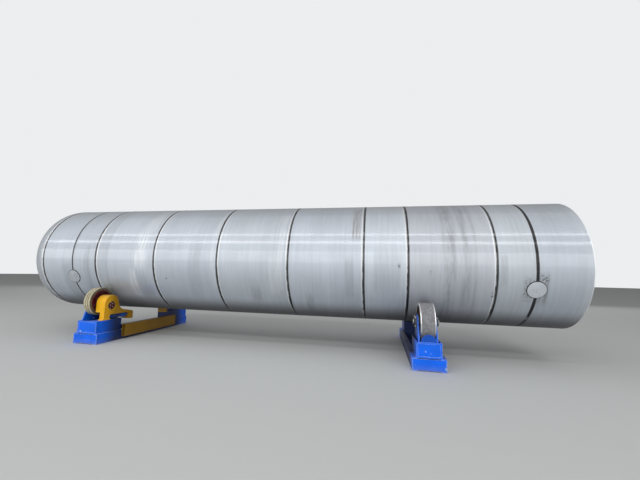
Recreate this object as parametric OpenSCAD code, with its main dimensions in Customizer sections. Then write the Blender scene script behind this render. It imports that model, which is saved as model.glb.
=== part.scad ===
// Horizontal pressure vessel under construction, lying on two sets of turning rolls.
// X runs along the vessel with the dished head at -X and the open end at +X, the near side is -Y.
// The origin is on the floor, below the middle of the whole length.

/* [Vessel] */
// Outside diameter of the shell
shell_d = 2520; // [2300:10:2800]
// Thickness of the shell and head plate
shell_t = 10; // [6:1:25]
// Width of a full shell plate along the vessel
plate_w = 1500; // [1200:10:2000]
// Width of the one cut shell plate in the middle
cut_plate_w = 820; // [500:10:1200]
// Number of full plates between the left ring course and the cut plate
plates_left = 4; // [3:1:6]
// Distance from each end of the shell to its support ring
ring_in = 850; // [650:10:1100]
// Depth of the edge bevel at the open end
bevel_h = 6; // [2:0.5:8]
// Angle of the edge bevel at the open end
bevel_angle = 30; // [15:1:45]

/* [Dished head] */
// Crown radius of the head as a share of its diameter
crown_ratio = 0.8; // [0.7:0.01:1]
// Knuckle radius of the head as a share of its diameter
knuckle_ratio = 0.154; // [0.1:0.002:0.2]
// Length of the straight flange of the head
head_flange = 60; // [25:5:120]

/* [Support rings] */
// Thickness of a support ring, which passes through the shell
ring_t = 24; // [12:1:40]
// Depth of a support ring inside the shell
ring_depth = 140; // [80:5:220]
// How far the ring's outer edge lies below the shell surface
ring_recess = 4; // [1:0.5:6]
// Diameter of a round support pad
pad_d = 300; // [200:10:420]
// Thickness of a support pad
pad_t = 10; // [6:1:30]
// Angle of the support pads below the horizontal
pad_angle = 22.5; // [10:0.5:45]

/* [Welds] */
// Width of a weld bead
bead_w = 18; // [10:1:30]
// Height of a weld bead above the plate
bead_h = 2.5; // [1:0.5:4]
// Angle of the first lengthwise weld above the horizontal on the far side
long_seam_angle = 62; // [30:1:80]
// Turn of the lengthwise weld from one course to the next
long_seam_step = 24; // [10:1:40]

/* [Turning rolls] */
// Distance of the idler rolls from the open end
idler_in = 2680; // [2200:10:3200]
// Distance of the drive rolls from the head weld
drive_in = 1620; // [1400:10:2200]
// Distance between the near and the far idler wheel
idler_spacing = 2300; // [2100:10:2500]
// Distance between the near and the far drive wheel
drive_spacing = 2360; // [2200:10:2500]
// Height of the idler wheel axles above the floor
idler_h = 770; // [720:5:900]
// Outside diameter of an idler wheel over its tyre
idler_d = 680; // [620:10:740]
// Outside diameter of a drive wheel over its tyre
drive_d = 600; // [560:10:640]
// Width of an idler wheel
idler_w = 250; // [180:10:320]
// Width of a drive wheel
drive_w = 150; // [120:5:180]
// Thickness of an idler tyre
idler_tyre_t = 40; // [20:1:60]
// Thickness of a drive tyre
drive_tyre_t = 55; // [40:1:60]
// Diameter of a wheel axle
axle_d = 100; // [70:5:130]
// Width of a groove in the drive tyre
groove_w = 14; // [6:1:24]
// Depth of a groove in the drive tyre
groove_d = 15; // [5:1:20]
// Width of the steel rim beside the idler tyre
rim_w = 14; // [8:1:24]
// How far the steel rim stays below the tyre surface
rim_drop = 6; // [3:1:12]
// Diameter of the wheel hub
hub_d = 190; // [150:5:260]
// Depth of the dish in each side of a wheel
dish_d = 50; // [20:5:55]
// Number of ribs in each side of a wheel
wheel_ribs = 6; // [4:1:10]
// Thickness of a wheel rib
wheel_rib_t = 14; // [8:1:20]

/* [Roll stands] */
// Height of the base frames
base_h = 215; // [160:5:300]
// Width of the base frames
base_w = 560; // [480:10:720]
// Web thickness of the base channels
channel_web = 10; // [6:1:20]
// Flange thickness of the base channels
channel_flange = 14; // [8:1:24]
// Flange width of the base channels
channel_reach = 90; // [60:5:140]
// Width of a seat box
seat_w = 420; // [380:10:480]
// Height of a seat box above the base
seat_h = 260; // [180:5:300]
// Distance from an idler axle to the front face of its seat and base
idler_front = 350; // [345:5:450]
// Distance from a drive axle to the front face of its seat and base
drive_front = 325; // [320:5:420]
// Distance from the axle to the back of the seat
seat_back = 300; // [240:10:420]
// Plate thickness of the seat boxes
seat_t = 12; // [8:1:20]
// Thickness of the ears that carry the axle
ear_t = 25; // [15:1:40]
// Thickness of the gusset plates beside the ears
gusset_t = 12; // [8:1:16]
// Width of the lip round the front of a seat
lip_w = 26; // [16:2:40]
// Thickness of the lip round the front of a seat
lip_t = 6; // [4:1:10]
// Gap between a wheel and the plates beside it
side_gap = 15; // [8:1:30]
// Radius of the round top of an ear
ear_r = 140; // [110:5:180]
// Width across the flange of an axle bearing
bearing_w = 200; // [170:5:230]
// Thickness of the flange of an axle bearing
bearing_t = 18; // [12:1:24]
// Diameter of an axle bearing housing
bearing_d = 150; // [130:5:160]
// Length of an axle bearing housing
bearing_l = 45; // [25:5:70]
// Radius of the rounded guard in front of an idler wheel
guard_r = 130; // [80:5:160]

/* [Drives] */
// Thickness of a gearbox housing
gear_w = 220; // [180:5:260]
// Gap between a drive wheel and its gearbox
gear_gap = 50; // [20:5:70]
// Radius of the round gearbox head
gear_r = 172; // [150:2:185]
// How far the middle of the round head lies below the wheel axle
head_drop = 25; // [0:5:40]
// Distance from the wheel axle back to where the gearbox neck begins
neck_reach = 230; // [215:5:260]
// Height of the neck above its underside where it begins
neck_t = 105; // [90:5:115]
// Radius of the inside bend from the gearbox head to its neck
neck_bend = 180; // [100:5:190]
// Radius of the inside bend from the neck down to the foot
arch_bend = 50; // [10:1:60]
// Distance from the wheel axle back to the gearbox tail
tail_reach = 520; // [480:10:600]
// Length of the gearbox tail
tail_l = 100; // [90:5:130]
// Height of the gearbox tail's top above the floor
tail_top = 615; // [610:5:640]
// Radius of the round upper corner of the gearbox tail
tail_r = 50; // [30:5:60]
// Height of the gearbox tail's underside above the floor
tail_low = 430; // [380:5:460]
// Height of the shoulder where the gearbox narrows to its foot
shoulder_h = 640; // [610:5:670]
// Length of the gearbox foot along the seat
foot_l = 140; // [120:5:160]
// Width of the gearbox foot
foot_w = 110; // [80:5:130]
// Diameter of the round opening in the gearbox face
window_d = 180; // [140:5:240]
// How far the middle of the opening lies below the wheel axle
window_drop = 80; // [60:5:90]
// Depth of the round opening in the gearbox face
window_deep = 45; // [20:5:80]
// Width of the raised rim round the opening
window_rim = 22; // [10:2:30]
// Height of the raised rim and edge on the gearbox face
face_step = 8; // [4:1:14]
// Width of the raised edge round the gearbox face
face_edge = 16; // [10:1:24]
// Thickness of the gearbox foot plate
foot_t = 22; // [14:1:30]
// How far the foot plate reaches past the foot at each end
foot_lap = 32; // [20:2:40]
// Diameter of a drive motor
motor_d = 100; // [90:5:110]
// Length of a drive motor
motor_l = 480; // [420:10:490]
// Number of cooling fins round a drive motor
motor_fins = 28; // [16:2:36]
// Height of a cooling fin
fin_h = 8; // [5:1:10]
// Thickness of a cooling fin
fin_t = 3; // [2:0.5:4]
// Length of the fan cowl at the free end of a drive motor
cowl_l = 85; // [60:5:110]
// Width of the beam across between the drive seats
beam_w = 80; // [60:5:140]
// Height of the beam across
beam_h = 270; // [200:5:300]
// Height of the beam's underside above the floor
beam_low = 60; // [30:5:120]
// Wall thickness of the beam across
beam_t = 8; // [5:1:16]

/* [Hidden] */
$fn = 96;

// Gap between two pieces that move against each other
run_gap = 0.3;
// Gap round a shaft that turns in its bearing
shaft_gap = 0.06;
// A cut runs this far past the face that it opens
past = 1;
near = -1;
far = 1;
// Sides of the large circles where a thin bead is cut from a ring
bead_fn = 720;
// Gap above and below a drive motor
motor_gap = 5;
// Tangent lines and bends cross by this much, so that no sliver of an edge is left where they meet
cross_by = 0.02;
// The filling of an inside bend reaches this far into the piece behind its corner
bend_sink = 8;
// Main positions are whole steps of this length, so that neighbouring pieces meet face to face
position_step = 0.01;
// Thickness of a wheel's rim under the tyre
rim_wall = 25;
// A rib lies this far below the side face of its wheel
rib_step = 10;
// A rib runs this far into the hub and the rim
rib_sink = 5;
// The drive seat reaches this far past its ear
drive_seat_lap = 10;
// An axle stands out of its bearing by this length
axle_stub = 12;
// The end of a drive axle lies this far below the gearbox face
axle_inset = 60;
// Free length of the blind bore past the end of a drive axle
bore_gap = 5;
// Gap between an ear and the end walls of its seat
ear_gap = 20;
// Radius of the rounded shoulders of an ear
shoulder_r = 100;
// Height of the middle of an ear's shoulders above the base
shoulder_up = 140;
// Places of the gusset plates, in front of the axle and behind it
gusset_ys = [-150, 100];

function to_step(v) = round(v / position_step) * position_step;

ro = shell_d / 2;
ri = ro - shell_t;
shell_l = plate_w * (plates_left + 3) + cut_plate_w;
crown_r = crown_ratio * shell_d;
knuckle_r = knuckle_ratio * shell_d;
knuckle_at = [ro - knuckle_r, head_flange];
crown_drop = sqrt(pow(crown_r - knuckle_r, 2) - pow(ro - knuckle_r, 2));
crown_at = [0, head_flange - crown_drop];
head_l = crown_at.y + crown_r;
open_x = to_step((shell_l + head_l) / 2);
head_x = open_x - shell_l;

// Seams from the head weld to the open end
cut_x = head_x + plate_w * (plates_left + 1);
seams = concat(
    [head_x, head_x + ring_in],
    [for (i = [1 : plates_left + 1]) head_x + i * plate_w],
    [cut_x + cut_plate_w, cut_x + cut_plate_w + plate_w, open_x - ring_in, open_x]
);
ring_xs = [head_x + ring_in, open_x - ring_in];

// Half the thickness of the support ring at a seam, or nothing at a plain seam
function ring_half(x) = x == ring_xs[0] || x == ring_xs[1] ? ring_t / 2 : 0;

weld_xs = [for (x = seams) if (ring_half(x) == 0 && x != open_x) x];

// How high the vessel's axis lies above the axles of wheels with this diameter and spacing
function rise(d, spacing) = sqrt(pow(ro + d / 2 + run_gap, 2) - spacing * spacing / 4);

axis_h = to_step(idler_h + rise(idler_d, idler_spacing));
drive_h = to_step(axis_h - rise(drive_d, drive_spacing));
idler_x = open_x - idler_in;
drive_x = head_x + drive_in;
idler_ear_x = idler_w / 2 + side_gap;
drive_ear_x = drive_w / 2 + side_gap;
seat_top = base_h + seat_h;
gear_x = drive_w / 2 + gear_gap;
gear_far_x = gear_x + gear_w;
foot_x = gear_far_x - foot_w;
drive_seat_from = -drive_ear_x - ear_t - drive_seat_lap;
// The drive base reaches this far past the seat on the left and on the right
base_laps = [80, 35];
// An axle reaches this far past the inner face of its ear
axle_out = ear_t + bearing_l + axle_stub;
motor_h = seat_top + motor_gap + motor_d / 2;
arch_h = motor_h + motor_d / 2 + motor_gap;
steel = [0.72, 0.74, 0.77];
weld_tone = [0.55, 0.56, 0.58];
blue = [0.09, 0.33, 0.80];
yellow = [0.90, 0.66, 0.12];
maroon = [0.33, 0.08, 0.10];
cream = [0.76, 0.72, 0.60];
worn_steel = [0.62, 0.62, 0.60];

// Turns a shape drawn round Z so that Z points along +X, on the vessel's axis
module along_vessel(x = 0) {
    translate([x, 0, axis_h]) rotate([0, 90, 0]) children();
}

// Draws a side outline (Y to the right, Z up) and gives it a thickness along X
module side_plate(x, t) {
    translate([x, 0, 0]) rotate([90, 0, 90]) linear_extrude(t) children();
}

// Moves a piece drawn round the near wheel's place to a station of a roll set
module station(x, side) {
    spacing = x == drive_x ? drive_spacing : idler_spacing;
    if (side == near) translate([x, -spacing / 2, 0]) children();
    else mirror([0, 1, 0]) translate([x, -spacing / 2, 0]) children();
}

// Ring of plate round the vessel's axis, between two radii
module ring(x, l, r_out, r_in) {
    along_vessel(x) difference() {
        cylinder(r = r_out, h = l);
        translate([0, 0, -past]) cylinder(r = r_in, h = l + 2 * past);
    }
}

// Points where the outer tangents touch two circles
function tangent_points(a, ra, b, rb) =
    let (d = norm(b - a), t = atan2(b.y - a.y, b.x - a.x), s = acos((ra - rb) / d))
    [
        a + ra * [cos(t + s), sin(t + s)],
        b + rb * [cos(t + s), sin(t + s)],
        b + rb * [cos(t - s), sin(t - s)],
        a + ra * [cos(t - s), sin(t - s)]
    ];

// Outline of two circles and the band between their tangents
module link_outline(a, ra, b, rb) {
    translate(a) circle(ra);
    translate(b) circle(rb);
    polygon(tangent_points(a, ra - cross_by, b, rb - cross_by));
}

// Shell of the vessel
module course(i) {
    from = seams[i - 1] + ring_half(seams[i - 1]);
    to = seams[i] - ring_half(seams[i]);
    color(steel)
        if (i == len(seams) - 1) end_course(from, to);
        else ring(from, to - from, ro, ri);
}

// Last course, with the bevel for the weld of the head that isn't fitted yet
module end_course(from, to) {
    l = to - from;
    bevel_l = bevel_h * tan(bevel_angle);
    along_vessel(from) rotate_extrude() polygon([
        [ri, 0], [ro, 0], [ro, l - bevel_l], [ro - bevel_h, l], [ri, l]
    ]);
}

// Half outline of a dished head over its crown and knuckle circles, drawn in by a thickness
module dish_outline(inset) {
    crown = crown_r - inset;
    knuckle = knuckle_r - inset;
    out = (knuckle_at - crown_at) * 2;
    intersection() {
        union() {
            square([ro - inset, head_flange]);
            translate(knuckle_at) circle(knuckle);
            intersection() {
                translate(crown_at) circle(crown);
                polygon([crown_at, crown_at + out, [0, crown_at.y + norm(out)]]);
            }
        }
        square([ro, head_l]);
    }
}

module dished_head() {
    color(steel) translate([head_x, 0, axis_h]) rotate([0, -90, 0])
        rotate_extrude() difference() {
            dish_outline(0);
            translate([0, -past]) square([ro - shell_t, 2 * past]);
            dish_outline(shell_t);
        }
}

// Flat ring that runs through the shell and stiffens it inside
module support_ring(x) {
    color(weld_tone) ring(x - ring_t / 2, ring_t, ro - ring_recess, ri - ring_depth);
}

module ring_left() { support_ring(ring_xs[0]); }
module ring_right() { support_ring(ring_xs[1]); }

// Round pads over the support rings, curved to the shell
module support_pads() {
    color(steel) for (x = ring_xs) for (side = [near, far])
        intersection() {
            ring(x - pad_d, 2 * pad_d, ro + pad_t, ro);
            translate([x, 0, axis_h]) rotate([side == near ? 90 + pad_angle : -90 - pad_angle, 0, 0])
                cylinder(d = pad_d, h = ro + 2 * pad_t);
        }
}

// Rounded cross-section of a weld bead that lies on the shell
module bead_section() {
    crown = (bead_w * bead_w / 4 + bead_h * bead_h) / (2 * bead_h);
    intersection() {
        translate([ro + bead_h - crown, 0]) circle(crown);
        translate([ro, -bead_w / 2]) square([bead_h + past, bead_w]);
    }
}

module girth_welds() {
    color(weld_tone) for (x = weld_xs) along_vessel(x) rotate_extrude() bead_section();
}

// Stretches of a lengthwise weld that stand proud: where the wheels run, it is ground flush
function weld_stretches(from, to) =
    let (tracks = [for (x = [drive_x, idler_x]) if (x > from && x < to) x])
    let (ends = concat([from], [for (x = tracks) each [x - idler_w, x + idler_w]], [to]))
    [for (i = [0 : 2 : len(ends) - 1]) if (ends[i + 1] > ends[i]) [ends[i], ends[i + 1]]];

// Outline of a low bead on the outside of the shell, at +X of the vessel's axis
module bead_outline() {
    intersection() {
        difference() {
            circle(ro + bead_h, $fn = bead_fn);
            circle(ro, $fn = bead_fn);
        }
        translate([ro - bead_w, -bead_w / 2]) square([2 * bead_w, bead_w]);
    }
}

module lengthwise_welds() {
    color(weld_tone) for (i = [1 : len(seams) - 1])
        for (s = weld_stretches(seams[i - 1] + bead_w, seams[i] - bead_w))
            along_vessel(s[0]) rotate([0, 0, 90 + long_seam_angle + (i % 2) * long_seam_step])
                linear_extrude(s[1] - s[0]) bead_outline();
}

// Ends of the base frames along the vessel, from the left edge to the right edge
drive_base = [drive_seat_from - base_laps[0], gear_far_x + base_laps[1]];
idler_base = [-base_w / 2, base_w / 2];

// The two channels of a base frame, which run across under the vessel
module channels(x, ends, half) {
    color(blue) for (right = [0, 1])
        translate([x + ends[right], half, 0]) rotate([90, 0, 0])
            linear_extrude(2 * half) mirror([right, 0]) difference() {
                square([channel_reach, base_h]);
                translate([channel_web, channel_flange])
                    square([channel_reach, base_h - 2 * channel_flange]);
            }
}

// Plates that tie the two channels, at the ends, behind each seat and in the middle
module ties(x, ends, half, spacing) {
    seat_y = spacing / 2 - seat_back;
    starts = [-half, -seat_y - channel_web, -channel_web / 2, seat_y, half - channel_web];
    color(blue) for (y = starts)
        translate([x + ends[0] + channel_web, y, channel_flange])
            cube([ends[1] - ends[0] - 2 * channel_web, channel_web, base_h - 2 * channel_flange]);
}

drive_half = drive_spacing / 2 + drive_front;
idler_half = idler_spacing / 2 + idler_front;

module channels_drive() { channels(drive_x, drive_base, drive_half); }
module channels_idler() { channels(idler_x, idler_base, idler_half); }
module ties_drive() { ties(drive_x, drive_base, drive_half, drive_spacing); }
module ties_idler() { ties(idler_x, idler_base, idler_half, idler_spacing); }

// Open box of plate, from its front before the axle to its back behind it
module seat_box(from, to, front) {
    difference() {
        translate([from, -front, base_h]) cube([to - from, front + seat_back, seat_h]);
        translate([from + seat_t, seat_t - front, base_h + seat_t])
            cube([to - from - 2 * seat_t, front + seat_back - 2 * seat_t, seat_h]);
    }
    translate([from, -front, base_h]) rotate([90, 0, 0]) linear_extrude(lip_t) difference() {
        square([to - from, seat_h]);
        translate([lip_w, lip_w]) square([to - from - 2 * lip_w, seat_h - 2 * lip_w]);
    }
}

// Upright gusset plates between an ear and the side wall of the seat beside it
module gussets(from, to) {
    for (y = gusset_ys)
        translate([from, y, base_h + seat_t]) cube([to - from, gusset_t, seat_h - 2 * seat_t]);
}

// Plate with a round top that carries an axle bearing
module ear(x, h, seat_front) {
    front = seat_t + ear_gap - seat_front;
    back = seat_back - seat_t - ear_gap;
    side_plate(x, ear_t) difference() {
        union() {
            link_outline([0, h], ear_r, [front + shoulder_r, base_h + shoulder_up], shoulder_r);
            link_outline([0, h], ear_r, [back - shoulder_r, base_h + shoulder_up], shoulder_r);
            translate([front, base_h + seat_t]) square([back - front, shoulder_up - seat_t]);
        }
        translate([0, h]) circle(axle_d / 2 + shaft_gap + 1);
    }
}

module seat_idler(side) {
    wall = seat_w / 2 - seat_t;
    color(blue) station(idler_x, side) {
        seat_box(-seat_w / 2, seat_w / 2, idler_front);
        ear(idler_ear_x, idler_h, idler_front);
        ear(-idler_ear_x - ear_t, idler_h, idler_front);
        gussets(idler_ear_x + ear_t, wall);
        gussets(-wall, -idler_ear_x - ear_t);
    }
}

// The drive seat has one ear, and a deck on the other side for the gearbox
module seat_drive(side) {
    color(blue) station(drive_x, side) {
        seat_box(drive_seat_from, gear_far_x, drive_front);
        ear(-drive_ear_x - ear_t, drive_h, drive_front);
        translate([gear_x, seat_t - drive_front, seat_top - seat_t])
            cube([gear_w - seat_t, drive_front + seat_back - 2 * seat_t, seat_t]);
        gussets(foot_x, gear_far_x - seat_t);
    }
}

module seat_drive_near() { seat_drive(near); }
module seat_drive_far() { seat_drive(far); }
module seat_idler_near() { seat_idler(near); }
module seat_idler_far() { seat_idler(far); }

// Axle bearing on the outer face of an ear: a square flange with round corners and a round housing
module bearing(x, h) {
    corner_r = 22;
    corner = bearing_w / 2 - corner_r;
    translate([x, 0, h]) rotate([0, 90, 0]) difference() {
        union() {
            linear_extrude(bearing_t) {
                for (a = [-corner, corner]) for (b = [-corner, corner]) translate([a, b]) circle(corner_r);
                square([bearing_w, 2 * corner], center = true);
                square([2 * corner, bearing_w], center = true);
            }
            cylinder(d = bearing_d, h = bearing_l);
        }
        translate([0, 0, -past]) cylinder(r = axle_d / 2 + shaft_gap, h = bearing_l + 2 * past);
    }
}

module bearing_left(x, h) {
    translate([x, 0, 0]) mirror([1, 0, 0]) bearing(0, h);
}

module bearings_drive() {
    color(worn_steel) for (side = [near, far]) station(drive_x, side)
        bearing_left(-drive_ear_x - ear_t, drive_h);
}

module bearings_idler() {
    color(worn_steel) for (side = [near, far]) station(idler_x, side) {
        bearing_left(-idler_ear_x - ear_t, idler_h);
        bearing(idler_ear_x + ear_t, idler_h);
    }
}

// Half-round plate that stands on the seat in front of the wheel
module guard(side) {
    color(blue) station(idler_x, side) translate([0, seat_t - idler_front, seat_top]) rotate([90, 0, 0])
        linear_extrude(seat_t) intersection() {
            circle(guard_r);
            translate([-guard_r, 0]) square([2 * guard_r, guard_r]);
        }
}

module guard_near() { guard(near); }
module guard_far() { guard(far); }

// Fills the inside corner at p, between the directions to a and to b, with a bend of radius r
module inside_bend(p, a, b, r) {
    u = (a - p) / norm(a - p);
    v = (b - p) / norm(b - p);
    half = acos(u * v) / 2;
    centre = p + (u + v) / norm(u + v) * (r - cross_by) / sin(half);
    difference() {
        polygon([p - (u + v) * bend_sink, p + u * r / tan(half), centre, p + v * r / tan(half)]);
        translate(centre) circle(r);
    }
}

// Side outline of a gearbox: a round head, a neck over the motor and a tail behind it.
// Its front reaches down to the height given, and the step draws the whole outline inwards
module gearbox_outline(front_low, step = 0) {
    head = [0, drive_h - head_drop];
    neck = [neck_reach, arch_h + neck_t - step];
    flank = tangent_points(head, gear_r - step - cross_by, neck, 0)[0];
    tail = [tail_reach + tail_l - tail_r, tail_top - tail_r];
    touch = tangent_points(neck, 0, tail, tail_r - step - cross_by)[1];
    low = arch_h + step;
    tail_from = tail_reach + step;
    tail_to = tail_reach + tail_l - step;
    under = tail_low + step;
    translate(head) circle(gear_r - step);
    translate(tail) circle(tail_r - step);
    translate([step - gear_r, front_low + step]) square([gear_r, head.y - front_low - step]);
    polygon([
        [0, low], head, flank, neck, touch,
        [tail_to, tail.y], [tail_to, under], [tail_from, under], [tail_from, low]
    ]);
    inside_bend(neck, flank, touch, neck_bend);
}

// Side outline of the foot below the gearbox head, with the bend up to the neck
module foot_outline(step = 0) {
    low = arch_h + step;
    foot_end = foot_l - gear_r - step;
    translate([step - gear_r, seat_top + step])
        square([foot_end + gear_r - step, shoulder_h - seat_top]);
    inside_bend([foot_end, low], [tail_reach, low], [foot_end, seat_top], arch_bend);
}

// Gearbox on a foot plate, with a raised edge round its face and a raised rim round the opening in it
module gearbox(side) {
    window_h = drive_h - window_drop;
    bore_l = gear_w - axle_inset + bore_gap;
    color(yellow) station(drive_x, side) difference() {
        union() {
            side_plate(gear_x, gear_w - foot_w) gearbox_outline(shoulder_h);
            side_plate(foot_x, foot_w - face_step) {
                gearbox_outline(arch_h);
                foot_outline();
            }
            side_plate(gear_far_x - face_step, face_step) {
                difference() {
                    union() {
                        gearbox_outline(arch_h);
                        foot_outline();
                    }
                    gearbox_outline(arch_h, face_edge);
                    foot_outline(face_edge);
                }
                translate([0, window_h]) circle(window_d / 2 + window_rim);
            }
            side_plate(foot_x, foot_w)
                translate([-gear_r - foot_lap, seat_top]) square([foot_l + 2 * foot_lap, foot_t]);
        }
        translate([gear_x - past, 0, drive_h]) rotate([0, 90, 0])
            cylinder(r = axle_d / 2 + shaft_gap, h = bore_l + past);
        translate([gear_far_x - window_deep, 0, window_h]) rotate([0, 90, 0])
            cylinder(d = window_d, h = window_deep + past);
    }
}

module gearbox_near() { gearbox(near); }
module gearbox_far() { gearbox(far); }

// Motor below the gearbox neck: an end plate on the face of the tail, a finned body and a fan cowl
module motor(side) {
    plate_l = 22;
    box_size = [44, 84, 110];
    box_sink = 15;
    box_from = plate_l + 60;
    fins_l = motor_l - plate_l - cowl_l;
    root_r = motor_d / 2 - fin_h;
    color(blue) station(drive_x, side)
        translate([gear_x + gear_w / 2, tail_reach, motor_h]) rotate([90, 0, 0]) {
            cylinder(d = motor_d, h = plate_l);
            translate([0, 0, plate_l]) linear_extrude(fins_l) {
                circle(root_r);
                for (i = [0 : motor_fins - 1]) rotate(i * 360 / motor_fins)
                    translate([0, -fin_t / 2]) square([motor_d / 2 - 0.5, fin_t]);
            }
            translate([0, 0, plate_l + fins_l]) cylinder(d = motor_d - 2, h = cowl_l);
            translate([root_r - box_sink, -box_size.y / 2, box_from]) cube(box_size);
        }
}

module motor_near() { motor(near); }
module motor_far() { motor(far); }

// Hollow beam across, on the side of the drive base between the seats
module cross_beam() {
    half = drive_spacing / 2 - seat_back;
    color(yellow) translate([drive_x + drive_base[1], -half, beam_low]) difference() {
        cube([beam_w, 2 * half, beam_h]);
        translate([beam_t, -past, beam_t])
            cube([beam_w - 2 * beam_t, 2 * half + 2 * past, beam_h - 2 * beam_t]);
    }
}

// Steel wheel drawn round its axle, with dished sides, a hub and ribs between the hub and the rim
module wheel(drum_r, w) {
    rim_in = drum_r - rim_wall;
    rotate([0, 90, 0]) rotate_extrude() difference() {
        translate([axle_d / 2, -w / 2]) square([drum_r - axle_d / 2, w]);
        for (s = [-1, 1])
            translate([hub_d / 2, s > 0 ? w / 2 - dish_d : -w / 2 - past])
                square([rim_in - hub_d / 2, dish_d + past]);
    }
    for (i = [0 : wheel_ribs - 1]) for (rib_x = [rib_step - w / 2, w / 2 - dish_d])
        rotate([i * 360 / wheel_ribs, 0, 0])
            translate([rib_x, -wheel_rib_t / 2, hub_d / 2 - rib_sink])
                cube([dish_d - rib_step, wheel_rib_t, rim_in - hub_d / 2 + 2 * rib_sink]);
}

module wheel_drive(side) {
    color(maroon) station(drive_x, side) translate([0, 0, drive_h])
        wheel(drive_d / 2 - drive_tyre_t, drive_w);
}

// An idler wheel has a steel rim on each side of its tyre
module wheel_idler(side) {
    drum_r = idler_d / 2 - idler_tyre_t;
    color(worn_steel) station(idler_x, side) translate([0, 0, idler_h]) {
        wheel(drum_r, idler_w);
        rotate([0, 90, 0]) rotate_extrude() for (s = [-1, 1])
            translate([drum_r, s > 0 ? idler_w / 2 - rim_w : -idler_w / 2])
                square([idler_tyre_t - rim_drop, rim_w]);
    }
}

module wheel_drive_near() { wheel_drive(near); }
module wheel_drive_far() { wheel_drive(far); }
module wheel_idler_near() { wheel_idler(near); }
module wheel_idler_far() { wheel_idler(far); }

// Tyre of a drive wheel, with two grooves round it
module tyre_drive(side) {
    wheel_r = drive_d / 2;
    color(cream) station(drive_x, side) translate([0, 0, drive_h]) rotate([0, 90, 0])
        rotate_extrude() difference() {
            translate([wheel_r - drive_tyre_t, -drive_w / 2]) square([drive_tyre_t, drive_w]);
            for (s = [-1, 1])
                translate([wheel_r - groove_d, s * drive_w / 6 - groove_w / 2])
                    square([groove_d + past, groove_w]);
        }
}

// Tyre of an idler wheel, between the steel rims
module tyre_idler(side) {
    color(worn_steel) station(idler_x, side) translate([0, 0, idler_h]) rotate([0, 90, 0])
        rotate_extrude() translate([idler_d / 2 - idler_tyre_t, rim_w - idler_w / 2])
            square([idler_tyre_t, idler_w - 2 * rim_w]);
}

module tyre_drive_near() { tyre_drive(near); }
module tyre_drive_far() { tyre_drive(far); }
module tyre_idler_near() { tyre_idler(near); }
module tyre_idler_far() { tyre_idler(far); }

// Axle that turns with its wheel
module axle(x, h, side, from, to) {
    color(worn_steel) station(x, side) translate([from, 0, h]) rotate([0, 90, 0])
        cylinder(d = axle_d, h = to - from);
}

module axle_drive(side) {
    axle(drive_x, drive_h, side, -drive_ear_x - axle_out, gear_far_x - axle_inset);
}

module axle_idler(side) {
    axle(idler_x, idler_h, side, -idler_ear_x - axle_out, idler_ear_x + axle_out);
}

module axle_drive_near() { axle_drive(near); }
module axle_drive_far() { axle_drive(far); }
module axle_idler_near() { axle_idler(near); }
module axle_idler_far() { axle_idler(far); }

dished_head();
course(1);  // course_1
course(2);  // course_2
course(3);  // course_3
course(4);  // course_4
course(5);  // course_5
course(6);  // course_6
course(7);  // course_7
course(8);  // course_8
course(9);  // course_9
course(10);  // course_10
ring_left();
ring_right();
support_pads();
girth_welds();
lengthwise_welds();
channels_drive();
channels_idler();
ties_drive();
ties_idler();
seat_drive_near();
seat_drive_far();
seat_idler_near();
seat_idler_far();
bearings_drive();
bearings_idler();
guard_near();
guard_far();
gearbox_near();
gearbox_far();
motor_near();
motor_far();
cross_beam();
wheel_drive_near();
wheel_drive_far();
wheel_idler_near();
wheel_idler_far();
tyre_drive_near();
tyre_drive_far();
tyre_idler_near();
tyre_idler_far();
axle_drive_near();
axle_drive_far();
axle_idler_near();
axle_idler_far();
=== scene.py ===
# %% [markdown]
# # A pressure vessel on turning rolls
#
# This lesson dresses a imported CAD model: a long stainless steel pressure vessel that is still being
# built. One dished head is welded on, the other end is open, and the shell lies on four wheels that turn
# it under the welder. The CAD holds every solid at its real size. Blender gives each surface its finish
# and adds what is too small for the CAD: rippled weld beads, bolts, plugs and nipples.
#
# The model is a fixed frame.

# %% Load the imported model
import math

import bpy
from mathutils import Matrix, Vector


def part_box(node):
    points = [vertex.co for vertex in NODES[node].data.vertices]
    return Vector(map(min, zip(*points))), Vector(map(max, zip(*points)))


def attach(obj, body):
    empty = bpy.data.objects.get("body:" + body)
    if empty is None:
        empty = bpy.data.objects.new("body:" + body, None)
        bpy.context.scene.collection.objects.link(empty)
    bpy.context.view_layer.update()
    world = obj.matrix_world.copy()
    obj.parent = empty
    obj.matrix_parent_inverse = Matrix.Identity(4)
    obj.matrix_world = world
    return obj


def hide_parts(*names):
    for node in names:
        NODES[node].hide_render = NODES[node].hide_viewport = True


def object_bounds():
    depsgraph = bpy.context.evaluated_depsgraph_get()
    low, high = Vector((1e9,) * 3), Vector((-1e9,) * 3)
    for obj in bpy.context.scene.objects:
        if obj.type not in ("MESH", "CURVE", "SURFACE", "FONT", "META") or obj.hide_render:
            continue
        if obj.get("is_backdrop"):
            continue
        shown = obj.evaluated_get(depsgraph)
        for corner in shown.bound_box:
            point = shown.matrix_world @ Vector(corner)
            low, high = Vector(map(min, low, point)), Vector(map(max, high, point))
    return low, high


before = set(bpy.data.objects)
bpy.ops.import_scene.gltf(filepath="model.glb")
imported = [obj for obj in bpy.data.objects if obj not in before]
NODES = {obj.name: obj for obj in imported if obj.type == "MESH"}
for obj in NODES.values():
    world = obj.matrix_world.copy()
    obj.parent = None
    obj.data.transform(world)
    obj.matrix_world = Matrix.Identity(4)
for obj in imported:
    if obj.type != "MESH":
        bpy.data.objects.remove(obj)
scene = bpy.context.scene
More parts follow.
